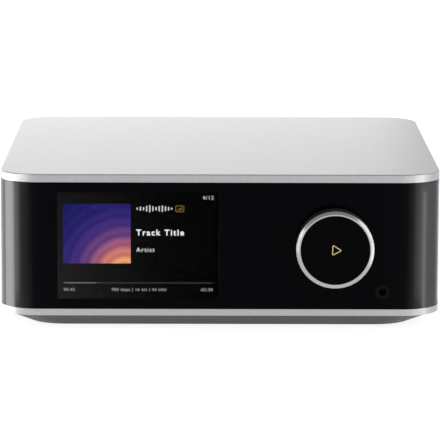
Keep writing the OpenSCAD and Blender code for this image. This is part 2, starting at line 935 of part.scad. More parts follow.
module power_transformer() {
  x = power_x1 - core_w/2 - core_side;
  y = power_y0 + core_d/2 + core_front;
  color("#d8b73a") {
    on_board(x, y, coil_rise, core_w, core_d, core_h);
    on_board(x, y, 0, coil_w, core_d, core_h + 2*coil_rise);
  }
}

module mains_capacitor() {
  color("#2b2f52")
    rod_z(mains_cap_x, mains_cap_y, board_z1, board_z1 + mains_cap_h, mains_cap_r);
}

module output_capacitors() {
  step = 2*output_cap_r + output_cap_gap;
  color("#2b2f52")
    for (x = [0, step], y = [0, step])
      rod_z(output_cap_x - x, output_cap_y + y, board_z1, board_z1 + output_cap_h, output_cap_r);
}

// Figure-of-eight shape of the mains inlet opening.
module inlet_shape() {
  square([2*inlet_pin_x, inlet_h - 3], center = true);
  for (x = [-inlet_pin_x, inlet_pin_x])
    translate([x, 0])
      circle(inlet_h/2 - 0.8);
}

module mains_inlet() {
  color("#0f0f10")
    difference() {
      union() {
        block([inlet_x - inlet_w/2, rear_y1 - inlet_d, inlet_z - inlet_h/2],
              [inlet_x + inlet_w/2, rear_y1 + 1, inlet_z + inlet_h/2]);
        block([inlet_x - inlet_w/2 - inlet_flange, rear_y1, inlet_z - inlet_h/2 - inlet_flange],
              [inlet_x + inlet_w/2 + inlet_flange, rear_y1 + 1.5, inlet_z + inlet_h/2 + inlet_flange]);
      }
      translate([inlet_x, rear_y1 + 2.5, inlet_z])
        rotate([90, 0, 0])
          linear_extrude(12)
            inlet_shape();
      for (x = [-inlet_pin_x, inlet_pin_x])
        rod_y(inlet_x + x, inlet_z, rear_y1 - inlet_d - 1, rear_y1 - 9, inlet_pin_r + set_clear);
    }
}

module mains_pins() {
  color("#c9b37a")
    for (x = [-inlet_pin_x, inlet_pin_x])
      rod_y(inlet_x + x, inlet_z, rear_y1 - inlet_d - 2, rear_y1 - 1, inlet_pin_r);
}

// Quarter bend of a round lead, from angle to angle + 90, in the X Y plane.
module lead_bend(angle) {
  rotate([0, 0, angle])
    rotate_extrude(angle = 90)
      translate([lead_bend_r, 0])
        circle(lead_r);
}

module mains_lead() {
  y1 = mains_plug_y + lead_bend_r;
  z1 = inlet_z - lead_bend_r;
  color("#2f2f31") {
    rod_y(inlet_x, inlet_z, y1, rear_y1 - inlet_d, lead_r);
    translate([inlet_x, y1, z1])
      rotate([90, 0, 90])
        lead_bend(90);
    rod_z(inlet_x, mains_plug_y, board_z1 + plug_h, z1, lead_r);
  }
}

module power_lead() {
  z0 = board_z1 + plug_h;
  z1 = z0 + 3;
  color("#8c2b2b") {
    rod_z(power_plug_x, 0, z0, z1, lead_r);
    translate([power_plug_x + lead_bend_r, 0, z1])
      rotate([90, 0, 0])
        lead_bend(90);
    translate([power_plug_x + lead_bend_r, 0, z1 + lead_bend_r])
      rotate([0, 90, 0])
        cylinder(r = lead_r, h = main_plug_x - power_plug_x - 2*lead_bend_r);
    translate([main_plug_x - lead_bend_r, 0, z1])
      rotate([90, 0, 0])
        lead_bend(0);
    rod_z(main_plug_x, 0, z0, z1, lead_r);
  }
}

// Block in a rear socket, from a depth behind its mouth, with its underside at z above the board.
module in_port(x, w, depth, out, z, h) {
  block([x - w/2, port_y1 - depth, board_z1 + z], [x + w/2, port_y1 + out, board_z1 + z + h]);
}

module network_port() {
  color("#a9acb0")
    difference() {
      in_port(network_x, network_w, network_d, 0, 0, network_h);
      in_port(network_x, network_w - 4.2, network_d - 3, 1, 3.6, network_h - 5);
      in_port(network_x, 6, 9, 1, 1.4, 2.6);
    }
}

module data_port() {
  color("#a9acb0") {
    difference() {
      in_port(data_x, data_w, data_d, 0, 0, data_h);
      in_port(data_x, data_w - 0.8, 9, 1, 0.4, data_h - 0.8);
    }
    in_port(data_x, data_w - 3, 9.5, -0.6, 3.2, 1.8);
  }
}

module video_port() {
  color("#a9acb0") {
    difference() {
      in_port(video_x, video_w, video_d, 0, 0, video_h);
      in_port(video_x, video_w - 1.2, 8, 1, 2.2, video_h - 2.8);
      in_port(video_x, video_w - 4, 8, 1, 0.7, 2.3);
    }
    in_port(video_x, video_w - 5.2, 8.5, -0.6, 2.3, 1.3);
  }
}

// Body of an optical socket around its shutter.
module optical_socket(x) {
  color("#141416")
    difference() {
      block([x - optical_w/2, rear_y1 - optical_d, board_z1], [x + optical_w/2, rear_y1 + 0.3, board_z1 + optical_h]);
      block([x - 3.7, rear_y1 - optical_depth, flap_z - flap_drop - 0.4], [x + 3.7, rear_y1 + 1, flap_z + 0.75]);
      translate([x - 4.4, flap_y, flap_z])
        rotate([0, 90, 0])
          cylinder(r = 0.45 + run_clear, h = 8.8);
    }
}

// Shutter of an optical socket, closed, on its pivot pins.
module optical_shutter(x) {
  color("#2b2c2f") {
    block([x - 3.55, flap_y - 0.3, flap_z - flap_drop], [x + 3.55, flap_y + 0.3, flap_z + 0.4]);
    translate([x - 4.25, flap_y, flap_z])
      rotate([0, 90, 0])
        cylinder(r = 0.45, h = 8.5);
  }
}

module optical_in_socket() {
  optical_socket(optical_in_x);
}

module optical_out_socket() {
  optical_socket(optical_out_x);
}

module optical_in_shutter() {
  optical_shutter(optical_in_x);
}

module optical_out_shutter() {
  optical_shutter(optical_out_x);
}

module trigger_socket() {
  color("#151517")
    difference() {
      union() {
        block([trigger_x - trigger_w/2, rear_y0 - trigger_d, board_z1],
              [trigger_x + trigger_w/2, rear_y0, board_z1 + trigger_h]);
        rod_y(trigger_x, trigger_z, rear_y0 - 1, port_y1, trigger_neck_r);
      }
      rod_y(trigger_x, trigger_z, port_y1 - trigger_bore_d, port_y1 + 1, jack_r);
    }
}

module phono_housings() {
  z0 = board_z1;
  color("#141416")
    for (x = phono_cols)
      difference() {
        union() {
          block([x - phono_block_w/2, rear_y0 - 12, z0], [x + phono_block_w/2, rear_y0, z0 + phono_block_h]);
          for (z = [phono_z0, phono_z1])
            rod_y(x, z, rear_y0 - 1, rear_y1, phono_boss_r);
        }
        for (z = [phono_z0, phono_z1])
          rod_y(x, z, phono_root_y, rear_y1 + 1, phono_root_r + set_clear);
        rod_y(x, phono_zc, rear_y0 - 7, rear_y0 + 1, tap_r);
      }
}

module phono_sleeves() {
  color("#d8b25c")
    for (x = phono_cols, z = [phono_z0, phono_z1])
      difference() {
        union() {
          rod_y(x, z, rear_y1, rear_y1 + phono_len, phono_r);
          rod_y(x, z, phono_root_y, rear_y1 + 1, phono_root_r);
        }
        rod_y(x, z, phono_root_y - 1, rear_y1 + phono_len + 1, phono_core_r);
      }
}

module phono_insulators() {
  color("#efefec")
    for (x = phono_cols, z = [phono_z0, phono_z1])
      difference() {
        rod_y(x, z, phono_root_y, rear_y1 + phono_len - 0.5, phono_core_r - set_clear);
        rod_y(x, z, rear_y1 + 0.5, rear_y1 + phono_len + 1, phono_hole_dia/2);
      }
}

module earth_post() {
  color("#caa95a") {
    rod_y(earth_x, phono_zc, rear_y0 - 2, rear_y1 + earth_len, earth_r);
    rod_y(earth_x, phono_zc, rear_y0 - 2, rear_y0, earth_nut_r);
  }
}

module earth_washer() {
  color("#d8b25c")
    difference() {
      rod_y(earth_x, phono_zc, rear_y1, rear_y1 + washer_t, earth_nut_r);
      rod_y(earth_x, phono_zc, rear_y1 - 1, rear_y1 + washer_t + 1, earth_r + run_clear);
    }
}

module earth_nut() {
  y0 = rear_y1 + washer_t;
  color("#d8b25c")
    difference() {
      rod_y(earth_x, phono_zc, y0, y0 + 6, earth_nut_r);
      rod_y(earth_x, phono_zc, y0 - 1, y0 + 7, earth_r + run_clear);
      for (a = [0:30:330])
        rod_y(earth_x + (earth_nut_r + 0.2)*cos(a), phono_zc + (earth_nut_r + 0.2)*sin(a), y0 + 1, y0 + 7, 0.6);
    }
}

case_shell();
front_panel();
touch_glass();
display_module();
front_bracket();
bracket_screws();
headphone_bezel();
headphone_socket();
headphone_board();
knob_shell();
knob_trim_ring();
knob_face();
encoder_shaft();
encoder_body();
encoder_nut();
switch_plunger();
control_board();
control_ribbon();
display_ribbon();
base_plate();
base_screws();
base_plinth();
plinth_screws();
foot_ring();
rear_panel();
rear_panel_screws();
jack_screws();
main_board();
main_board_screws();
processor();
heat_sink();
radio_shield();
converter_shield();
board_connectors();
antenna_left();
antenna_right();
power_board();
power_board_screws();
power_transformer();
mains_capacitor();
output_capacitors();
mains_inlet();
mains_pins();
mains_lead();
power_lead();
network_port();
data_port();
video_port();
optical_in_socket();
optical_out_socket();
optical_in_shutter();
optical_out_shutter();
trigger_socket();
phono_housings();
phono_sleeves();
phono_insulators();
earth_post();
earth_washer();
earth_nut();
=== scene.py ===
import json
import math

import bpy
from mathutils import Matrix, Vector


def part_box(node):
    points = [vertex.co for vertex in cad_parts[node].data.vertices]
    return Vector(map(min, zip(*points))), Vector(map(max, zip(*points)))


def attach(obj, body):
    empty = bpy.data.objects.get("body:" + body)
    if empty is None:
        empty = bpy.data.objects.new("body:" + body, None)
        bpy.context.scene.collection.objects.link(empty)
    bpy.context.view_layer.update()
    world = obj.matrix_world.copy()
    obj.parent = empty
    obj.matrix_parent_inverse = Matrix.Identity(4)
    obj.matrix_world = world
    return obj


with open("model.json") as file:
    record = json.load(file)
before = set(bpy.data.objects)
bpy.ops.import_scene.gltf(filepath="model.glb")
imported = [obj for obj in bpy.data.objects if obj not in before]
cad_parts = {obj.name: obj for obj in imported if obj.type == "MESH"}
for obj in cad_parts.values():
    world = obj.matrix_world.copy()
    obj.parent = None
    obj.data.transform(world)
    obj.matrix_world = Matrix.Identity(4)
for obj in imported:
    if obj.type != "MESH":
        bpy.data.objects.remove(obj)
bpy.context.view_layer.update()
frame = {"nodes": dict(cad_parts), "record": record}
nodes = frame["nodes"]
joints = {joint["name"]: joint for joint in frame["record"]["behaviour"]["joints"]}
MM = 0.001


# Places taken from the frame, in millimetres

def box_mm(node):
    """Lowest and highest corner of a CAD node."""
    low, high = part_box(node)
    return Vector(low) / MM, Vector(high) / MM


def middle_x(node):
    low, high = box_mm(node)
    return (low.x + high.x) / 2


def axis_place(joint):
    """Where a front-to-back axis crosses the middle of the part."""
    x, _, z = joints[joint]["pos_m"]
    return Vector((x, 0, z)) / MM


KNOB = axis_place("knob_turn")
EARTH = axis_place("earth_nut_turn")
DISPLAY_FACE = box_mm("display_module")[0].y
KNOB_FACE = box_mm("knob_face")[0].y
PANEL_FACE = box_mm("rear_panel")[1].y

# The display's window is a little larger than the glass in it.
GLASS_CLEARANCE = 0.05
glass_low, glass_high = box_mm("touch_glass")
SCREEN_LEFT = glass_low.x - GLASS_CLEARANCE
SCREEN_LOW = glass_low.z - GLASS_CLEARANCE
SCREEN_W = glass_high.x + GLASS_CLEARANCE - SCREEN_LEFT
SCREEN_H = glass_high.z + GLASS_CLEARANCE - SCREEN_LOW

# Four columns of phono sockets in two rows.
PHONO_CORE_R = 3.45
PHONO_COLUMNS = 4
phono_low, phono_high = box_mm("phono_insulators")
PHONO_FIRST_X = phono_high.x - PHONO_CORE_R
PHONO_LAST_X = phono_low.x + PHONO_CORE_R
PHONO_PITCH = (PHONO_FIRST_X - PHONO_LAST_X) / (PHONO_COLUMNS - 1)
PHONO_UPPER_Z = phono_high.z - PHONO_CORE_R
PHONO_LOWER_Z = phono_low.z + PHONO_CORE_R


# Camera, fitted to the edges of the case

EYE = Vector((-7.173, -1529.796, 287.138)) * MM
YAW = math.radians(0.284)
PITCH = math.radians(9.364)
ROLL = math.radians(0.174)
LENS = 255.8
SENSOR_W = 36


def set_up_camera():
    ahead = Vector((math.sin(YAW) * math.cos(PITCH), math.cos(YAW) * math.cos(PITCH), -math.sin(PITCH)))
    side = Vector((math.cos(YAW), -math.sin(YAW), 0))
    up = side.cross(ahead)
    right = math.cos(ROLL) * side + math.sin(ROLL) * up
    top = math.cos(ROLL) * up - math.sin(ROLL) * side
    bpy.ops.object.camera_add()
    camera = bpy.context.object
    camera.name = "studio_camera"
    camera.data.sensor_width = SENSOR_W
    camera.data.lens = LENS
    turn = Matrix((right, top, -ahead)).transposed().to_4x4()
    camera.matrix_world = Matrix.Translation(EYE) @ turn
    bpy.context.scene.camera = camera


set_up_camera()


# Shader helpers, where owner is the material or world that holds the nodes

# Distance at which the wave texture repeats when its scale is 1.
WAVE_PERIOD = 0.314


def tone(red, green, blue):
    """A screen colour, 0 to 255, as the linear colour that a shader takes."""
    out = []
    for value in (red, green, blue):
        v = value / 255
        out.append(v / 12.92 if v <= 0.04045 else ((v + 0.055) / 1.055) ** 2.4)
    return (*out, 1)


def grey(level):
    return tone(level, level, level)


def begin(name):
    finish = bpy.data.materials.new(name)
    finish.use_nodes = True
    return finish, finish.node_tree.nodes["Principled BSDF"]


def add(owner, kind, **settings):
    made = owner.node_tree.nodes.new("ShaderNode" + kind)
    for key, value in settings.items():
        setattr(made, key, value)
    return made


def join(owner, start, end):
    owner.node_tree.links.new(start, end)


def combine(owner, operation, first, second):
    """One number worked out from two others."""
    result = add(owner, "Math", operation=operation)
    join(owner, first, result.inputs[0])
    join(owner, second, result.inputs[1])
    return result.outputs[0]


def position(owner, middle=(0, 0, 0), stretch=(1, 1, 1)):
    """Place on the piece, counted from middle in millimetres."""
    coords = add(owner, "TexCoord")
    out = add(owner, "Mapping")
    out.inputs["Location"].default_value = [-v * MM for v in middle]
    join(owner, coords.outputs["Object"], out.inputs["Vector"])
    if stretch != (1, 1, 1):
        shifted = out.outputs["Vector"]
        out = add(owner, "Mapping")
        out.inputs["Scale"].default_value = stretch
        join(owner, shifted, out.inputs["Vector"])
    return out.outputs["Vector"]


def split(owner, where):
    apart = add(owner, "SeparateXYZ")
    join(owner, where, apart.inputs["Vector"])
    return apart.outputs


def speckle(owner, where, size, detail=2.0):
    """Cloudy variation with patches of about size, in millimetres."""
    noise = add(owner, "TexNoise")
    noise.inputs["Scale"].default_value = 1 / (size * MM)
    noise.inputs["Detail"].default_value = detail
    join(owner, where, noise.inputs["Vector"])
    return noise.outputs["Fac"]


def lines(owner, where, pitch, around=None, along=None):
    """Fine lines at a pitch in millimetres: rings around an axis, or bands along one."""
    wave = add(owner, "TexWave")
    if around:
        wave.wave_type = "RINGS"
        wave.rings_direction = around
    else:
        wave.bands_direction = along
    wave.inputs["Scale"].default_value = WAVE_PERIOD / (pitch * MM)
    wave.inputs["Distortion"].default_value = 0.6
    wave.inputs["Detail"].default_value = 1.0
    join(owner, where, wave.inputs["Vector"])
    return wave.outputs["Fac"]


def colours(owner, fac, stops):
    """Colour that runs through stops, each a place from 0 to 1 and a colour."""
    ramp = add(owner, "ValToRGB")
    points = ramp.color_ramp.elements
    while len(points) < len(stops):
        points.new(0.5)
    for point, (at, colour) in zip(points, stops):
        point.position = at
        point.color = colour
    join(owner, fac, ramp.inputs["Fac"])
    return ramp.outputs["Color"]


def ranged(owner, fac, low, high, start=0.3, end=0.7, smooth=False):
    """A number that goes from low to high while fac goes from start to end."""
    span = add(owner, "MapRange")
    if smooth:
        span.interpolation_type = "SMOOTHSTEP"
    for socket, value in zip(("From Min", "From Max", "To Min", "To Max"), (start, end, low, high)):
        span.inputs[socket].default_value = value
    join(owner, fac, span.inputs["Value"])
    return span.outputs["Result"]


def cloudy(owner, where, dark, light, patch):
    """Colour that drifts between two tones in patches of a size in millimetres."""
    return colours(owner, speckle(owner, where, patch, detail=3), [(0.32, dark), (0.68, light)])


def relief(owner, shader, fac, depth):
    """Raised grain of a depth in millimetres."""
    bump = add(owner, "Bump")
    bump.inputs["Distance"].default_value = depth * MM
    join(owner, fac, bump.inputs["Height"])
    join(owner, bump.outputs["Normal"], shader.inputs["Normal"])


# Kinds of finish

def surface(name, dark, light, rough, metal=0.0, patch=4.0, grain=0.3, depth=0.002, gloss=0.5):
    """A finish with cloudy colour between two tones and a fine raised grain."""
    finish, shader = begin(name)
    where = position(finish)
    join(finish, cloudy(finish, where, dark, light, patch), shader.inputs["Base Color"])
    fine = speckle(finish, where, grain)
    join(finish, ranged(finish, fine, *rough), shader.inputs["Roughness"])
    relief(finish, shader, fine, depth)
    shader.inputs["Metallic"].default_value = metal
    shader.inputs["Specular IOR Level"].default_value = gloss
    return finish


def turned(name, dark, light, rough, middle=(0, 0, 0), around=None, along=None, pitch=0.25, depth=0.0008):
    """Metal with the fine lines that a lathe leaves."""
    finish, shader = begin(name)
    where = position(finish, middle)
    cut = lines(finish, where, pitch, around, along)
    join(finish, cloudy(finish, where, dark, light, patch=2.5), shader.inputs["Base Color"])
    join(finish, ranged(finish, cut, *rough, start=0, end=1), shader.inputs["Roughness"])
    relief(finish, shader, cut, depth)
    shader.inputs["Metallic"].default_value = 1
    return finish


# Strength of the clear gloss, from where it is looked straight at (0) to where it is seen edge on (1).
GLOSS_BY_SLOPE = (
    (0, 0), (0.03, 0.03), (0.07, 0.2), (0.125, 0.33), (0.185, 0.55), (0.225, 0.8),
    (0.27, 1), (0.4, 0.9), (0.5, 0.6), (0.62, 0.38), (0.75, 0.25), (1, 0.18))
# The gloss is weaker on the flat front, out to FLAT_TO from the middle, than on the ends from CURVED_FROM.
FLAT_GLOSS = 0.35
FLAT_TO = 74
CURVED_FROM = 84.5


def gloss_black(name, dark, light, patch):
    """Deep black under a clear gloss that shows on the curved ends and fades on the front."""
    finish, shader = begin(name)
    where = position(finish)
    join(finish, cloudy(finish, where, dark, light, patch), shader.inputs["Base Color"])
    haze = speckle(finish, where, size=1.5)
    join(finish, ranged(finish, haze, 0.09, 0.13), shader.inputs["Roughness"])
    shader.inputs["Specular IOR Level"].default_value = 0.026
    slope = add(finish, "LayerWeight")
    slope.inputs["Blend"].default_value = 0.5
    gloss = colours(finish, slope.outputs["Facing"], [(at, (v, v, v, 1)) for at, v in GLOSS_BY_SLOPE])
    reach = add(finish, "Math", operation="ABSOLUTE")
    join(finish, split(finish, where)["X"], reach.inputs[0])
    ends = ranged(finish, reach.outputs[0], FLAT_GLOSS, 1.0, FLAT_TO * MM, CURVED_FROM * MM, smooth=True)
    join(finish, combine(finish, "MULTIPLY", gloss, ends), shader.inputs["Coat Weight"])
    shader.inputs["Coat IOR"].default_value = 1.6
    shader.inputs["Coat Roughness"].default_value = 0.2
    return finish


def clear_glass():
    """Thin glass with hardly any reflection, so that the picture behind it stays clear."""
    finish, shader = begin("touch_glass")
    smear = speckle(finish, position(finish), size=9, detail=3)
    join(finish, ranged(finish, smear, 0.01, 0.03), shader.inputs["Roughness"])
    shader.inputs["Base Color"].default_value = (1, 1, 1, 1)
    shader.inputs["Transmission Weight"].default_value = 1
    shader.inputs["IOR"].default_value = 1.04
    return finish


# The painted reflection on the picture ground is at full strength up to this height in the window.
PAINTED_REFLECTION_FULL_TO = 4


def painted_reflection_display():
    """Dark picture ground with a painted reflection of a light on the left, so that it is lighter towards
    the lower left.
    """
    finish, shader = begin("display_painted_reflection")
    where = position(finish, (SCREEN_LEFT, 0, SCREEN_LOW))
    place = split(finish, where)
    across = ranged(finish, place["X"], 0.0, 1.0, 0, SCREEN_W * MM)
    # Painted reflection: the ground is lighter to the left and black to the right.
    ground = colours(finish, across, [
        (0, grey(31)), (0.14, grey(26)), (0.3, grey(19)), (0.45, grey(12)),
        (0.6, grey(5)), (0.78, grey(2)), (1, grey(0))])
    join(finish, ground, shader.inputs["Emission Color"])
    # Painted reflection: the glow fades to half its strength towards the top of the window.
    reflection_fade = ranged(finish, place["Z"], 1.0, 0.5, PAINTED_REFLECTION_FULL_TO * MM, SCREEN_H * MM)
    join(finish, reflection_fade, shader.inputs["Emission Strength"])
    shader.inputs["Base Color"].default_value = (0.0006, 0.0006, 0.0006, 1)
    fine = speckle(finish, where, size=0.4)
    join(finish, ranged(finish, fine, 0.35, 0.45), shader.inputs["Roughness"])
    shader.inputs["Specular IOR Level"].default_value = 0.01
    return finish


def lit_ink(name, colour):
    """Lit lettering, with the faint unevenness of its pixels."""
    finish, shader = begin(name)
    fine = speckle(finish, position(finish), size=0.35, detail=1)
    join(finish, ranged(finish, fine, 0.9, 1.05), shader.inputs["Emission Strength"])
    shader.inputs["Emission Color"].default_value = colour
    shader.inputs["Base Color"].default_value = (0.01, 0.01, 0.01, 1)
    shader.inputs["Roughness"].default_value = 0.5
    shader.inputs["Specular IOR Level"].default_value = 0.1
    return finish


# The cover picture's arcs: their middle, counted from the window's lower left corner, and their reach.
ARCS_X = 31.5
ARCS_Z = 11.5
ARCS_FROM = 6
ARCS_TO = 43
ARCS_PITCH = 4.6


def arc_picture():
    """Abstract cover picture: warm arcs that spread from a corner into deep blue."""
    finish, shader = begin("cover_picture")
    where = position(finish, (SCREEN_LEFT + ARCS_X, 0, SCREEN_LOW + ARCS_Z), stretch=(1, 0, 1))
    reach = add(finish, "VectorMath", operation="LENGTH")
    join(finish, where, reach.inputs[0])
    wash = ranged(finish, reach.outputs["Value"], 0, 1, ARCS_FROM * MM, ARCS_TO * MM)
    ground = colours(finish, wash, [
        (0.00, tone(236, 160, 104)), (0.15, tone(198, 112, 112)), (0.32, tone(112, 66, 124)),
        (0.5, tone(58, 38, 120)), (0.7, tone(30, 22, 106)), (1.00, tone(15, 12, 88))])
    ripple = lines(finish, where, ARCS_PITCH, around="Y")
    shine = colours(finish, ripple, [
        (0.0, (0.72, 0.72, 0.78, 1)), (0.55, (0.95, 0.95, 0.97, 1)), (1.0, (1.12, 1.08, 1.05, 1))])
    mix = add(finish, "Mix", data_type="RGBA", blend_type="MULTIPLY")
    factor, first, second = [socket for socket in mix.inputs if socket.enabled]
    factor.default_value = 1
    join(finish, ground, first)
    join(finish, shine, second)
    join(finish, [socket for socket in mix.outputs if socket.enabled][0], shader.inputs["Emission Color"])
    shader.inputs["Emission Strength"].default_value = 1
    shader.inputs["Base Color"].default_value = (0.005, 0.005, 0.005, 1)
    shader.inputs["Specular IOR Level"].default_value = 0.05
    return finish


TRACK_PITCH = 3.5


def circuit(name, dark, light, track):
    """Board with a web of tracks under its lacquer."""
    finish, shader = begin(name)
    where = position(finish)
    cells = add(finish, "TexVoronoi", feature="DISTANCE_TO_EDGE", distance="EUCLIDEAN")
    cells.inputs["Scale"].default_value = 1 / (TRACK_PITCH * MM)
    join(finish, where, cells.inputs["Vector"])
    web = colours(finish, cells.outputs["Distance"], [(0.03, track), (0.06, dark), (1, light)])
    join(finish, web, shader.inputs["Base Color"])
    fine = speckle(finish, where, size=0.8)
    join(finish, ranged(finish, fine, 0.25, 0.4), shader.inputs["Roughness"])
    relief(finish, shader, cells.outputs["Distance"], depth=0.03)
    return finish


# Finishes of the case and the front

case_silver = surface("case_silver", (0.445, 0.447, 0.46, 1), (0.475, 0.477, 0.49, 1), rough=(0.36, 0.42),
                      metal=1.0, patch=2.5, grain=0.25, depth=0.0012)
panel_black = gloss_black("panel_black", (0.0007, 0.001, 0.0021, 1), (0.001, 0.0014, 0.0027, 1), patch=14)
glass_clear = clear_glass()
display_painted_reflection = painted_reflection_display()
display_case = surface("display_case", tone(104, 106, 110), tone(120, 122, 126), rough=(0.3, 0.4),
                       metal=1.0, depth=0.0006)
knob_dark = turned("knob_dark", (0.095, 0.095, 0.099, 1), (0.112, 0.112, 0.117, 1), rough=(0.45, 0.56),
                   middle=KNOB, along="Y", pitch=0.2)
knob_bright = turned("knob_bright", (0.43, 0.433, 0.44, 1), (0.47, 0.473, 0.48, 1), rough=(0.22, 0.3),
                     middle=KNOB, around="Y", pitch=0.12, depth=0.0002)
knob_black = gloss_black("knob_black", (0.0005, 0.0007, 0.0014, 1), (0.0008, 0.001, 0.0018, 1), patch=8)
bezel_black = surface("bezel_black", tone(11, 11, 12), tone(16, 16, 17), rough=(0.38, 0.5),
                      patch=0.8, grain=0.12, depth=0.0012, gloss=0.06)
base_grey = surface("base_grey", tone(108, 108, 110), tone(118, 118, 120), rough=(0.45, 0.6),
                    patch=3, grain=0.35, depth=0.006, gloss=0.35)
foot_rubber = surface("foot_rubber", tone(24, 24, 25), tone(34, 34, 35), rough=(0.7, 0.85),
                      patch=2, grain=0.5, depth=0.01, gloss=0.25)
moulded_dark = surface("moulded_dark", tone(38, 40, 43), tone(48, 50, 53), rough=(0.4, 0.55), depth=0.004)


# Finishes of the rear

rear_black = surface("rear_black", tone(23, 24, 26), tone(31, 32, 34), rough=(0.48, 0.62),
                     patch=2, grain=0.35, depth=0.008, gloss=0.35)
socket_black = surface("socket_black", tone(17, 17, 19), tone(26, 26, 28), rough=(0.35, 0.5),
                       patch=1, grain=0.2, depth=0.002)
plated_shell = surface("plated_shell", tone(150, 153, 157), tone(184, 187, 190), rough=(0.22, 0.34),
                       metal=1.0, patch=1.5, grain=0.15, depth=0.0006)
gold_sleeve = turned("gold_sleeve", tone(206, 160, 78), tone(226, 186, 104), rough=(0.16, 0.26),
                     along="Y", pitch=0.3)
gold_nut = turned("gold_nut", tone(204, 158, 76), tone(224, 184, 102), rough=(0.18, 0.28),
                  middle=EARTH, around="Y", pitch=0.3)
contact_gold = surface("contact_gold", tone(196, 150, 70), tone(220, 178, 96), rough=(0.2, 0.3),
                       metal=1.0, patch=0.6, grain=0.1, depth=0.0003)
print_pale = surface("print_pale", tone(170, 172, 174), tone(190, 192, 194), rough=(0.5, 0.6),
                     patch=0.6, grain=0.1, depth=0.0004, gloss=0.3)


def core_plastic(name, dark, light):
    return surface(name, dark, light, rough=(0.25, 0.35), patch=1.5, depth=0.0008)


def lamp_plastic(name, dark, light):
    return surface(name, dark, light, rough=(0.2, 0.3), patch=0.7, grain=0.1, depth=0.0004)


core_white = core_plastic("core_white", tone(226, 226, 222), tone(240, 240, 236))
core_red = core_plastic("core_red", tone(168, 24, 26), tone(188, 34, 34))
core_orange = core_plastic("core_orange", tone(206, 106, 26), tone(222, 124, 40))
core_black = core_plastic("core_black", tone(22, 22, 24), tone(32, 32, 34))
link_green = lamp_plastic("link_green", tone(66, 122, 70), tone(88, 146, 90))
link_amber = lamp_plastic("link_amber", tone(190, 132, 44), tone(212, 156, 62))


# Finishes inside the case

plated_steel = surface("plated_steel", tone(150, 152, 156), tone(180, 182, 186), rough=(0.25, 0.38),
                       metal=1.0, patch=3, grain=0.3, depth=0.0015)
board_green = circuit("board_green", tone(20, 74, 50), tone(26, 92, 62), tone(52, 122, 84))
board_tan = circuit("board_tan", tone(168, 138, 76), tone(186, 158, 92), tone(196, 140, 82))
chip_black = surface("chip_black", tone(30, 31, 34), tone(40, 41, 44), rough=(0.45, 0.6),
                     patch=1.5, grain=0.2, depth=0.003)
sink_black = surface("sink_black", tone(50, 52, 56), tone(62, 64, 68), rough=(0.4, 0.5),
                     metal=1.0, grain=0.25, depth=0.002)
plug_cream = surface("plug_cream", tone(220, 214, 196), tone(234, 230, 216), rough=(0.4, 0.5),
                     patch=1.5, depth=0.003)
ribbon_tan = surface("ribbon_tan", tone(190, 164, 106), tone(212, 190, 136), rough=(0.3, 0.4),
                     patch=1.2, depth=0.001)
winding_yellow = surface("winding_yellow", tone(206, 170, 44), tone(226, 196, 70), rough=(0.35, 0.5),
                         patch=3, grain=0.8, depth=0.01)
sleeve_blue = surface("sleeve_blue", tone(36, 40, 74), tone(46, 52, 92), rough=(0.3, 0.4),
                      patch=3, depth=0.002)
lead_dark = surface("lead_dark", tone(38, 38, 40), tone(50, 50, 52), rough=(0.5, 0.65),
                    patch=1, grain=0.3, depth=0.004)


# Finishes on the CAD nodes

def dress(finish, *names):
    for name in names:
        nodes[name].data.materials.clear()
        nodes[name].data.materials.append(finish)


dress(case_silver, "case_shell")
dress(panel_black, "front_panel")
dress(glass_clear, "touch_glass")
dress(knob_dark, "knob_shell")
dress(knob_bright, "knob_trim_ring")
dress(knob_black, "knob_face")
dress(bezel_black, "headphone_bezel")
dress(base_grey, "base_plinth")
dress(foot_rubber, "foot_ring")
dress(rear_black, "rear_panel")
dress(moulded_dark, "front_bracket")
dress(socket_black, "headphone_socket", "trigger_socket", "mains_inlet", "optical_in_socket",
      "optical_out_socket", "optical_in_shutter", "optical_out_shutter", "phono_housings")
dress(plated_steel, "base_plate", "encoder_body", "encoder_nut", "encoder_shaft", "bracket_screws",
      "base_screws", "plinth_screws", "rear_panel_screws", "jack_screws", "main_board_screws",
      "power_board_screws", "radio_shield", "converter_shield")
dress(gold_sleeve, "phono_sleeves", "mains_pins", "earth_post", "earth_washer")
dress(gold_nut, "earth_nut")
dress(board_green, "main_board", "control_board", "headphone_board")
dress(board_tan, "power_board")
dress(chip_black, "processor", "antenna_left", "antenna_right")
dress(sink_black, "heat_sink")
dress(plug_cream, "board_connectors", "switch_plunger")
dress(ribbon_tan, "control_ribbon", "display_ribbon")
dress(winding_yellow, "power_transformer")
dress(sleeve_blue, "mains_capacitor", "output_capacitors")
dress(lead_dark, "mains_lead", "power_lead")


def dress_faces(name, finishes, pick):
    """Several finishes on one node, picked for each face by its middle and its normal."""
    mesh = nodes[name].data
    mesh.materials.clear()
    for finish in finishes:
        mesh.materials.append(finish)
    for face in mesh.polygons:
        face.material_index = pick(face.center / MM, face.normal)


# How near to the front, and how squarely to it, a face of the display module lies to take the screen finish
# with its painted reflection.
SCREEN_FACE_DEPTH = 0.05
SCREEN_FACE_SQUARE = 0.9


def pick_display(at, facing):
    """The face with the screen finish and its painted reflection is the front of the module."""
    return int(at.y < DISPLAY_FACE + SCREEN_FACE_DEPTH and facing.y < -SCREEN_FACE_SQUARE)


def pick_core(at, facing):
    """White over red, and black over orange in the last column."""
    upper = at.z > (PHONO_UPPER_Z + PHONO_LOWER_Z) / 2
    last = at.x < PHONO_LAST_X + PHONO_PITCH / 2
    return (0 if upper else 1) + (2 if last else 0)


def dress_port(name, side, back, mouth, floor, roof):
    """Plated port with a dark inside, which lies these distances within the port's own box."""
    low, high = box_mm(name)

    def pick(at, facing):
        across = low.x + side < at.x < high.x - side
        deep = low.y + back < at.y < high.y - mouth
        level = low.z + floor < at.z < high.z - roof
        return int(across and deep and level)

    dress_faces(name, [plated_shell, socket_black], pick)


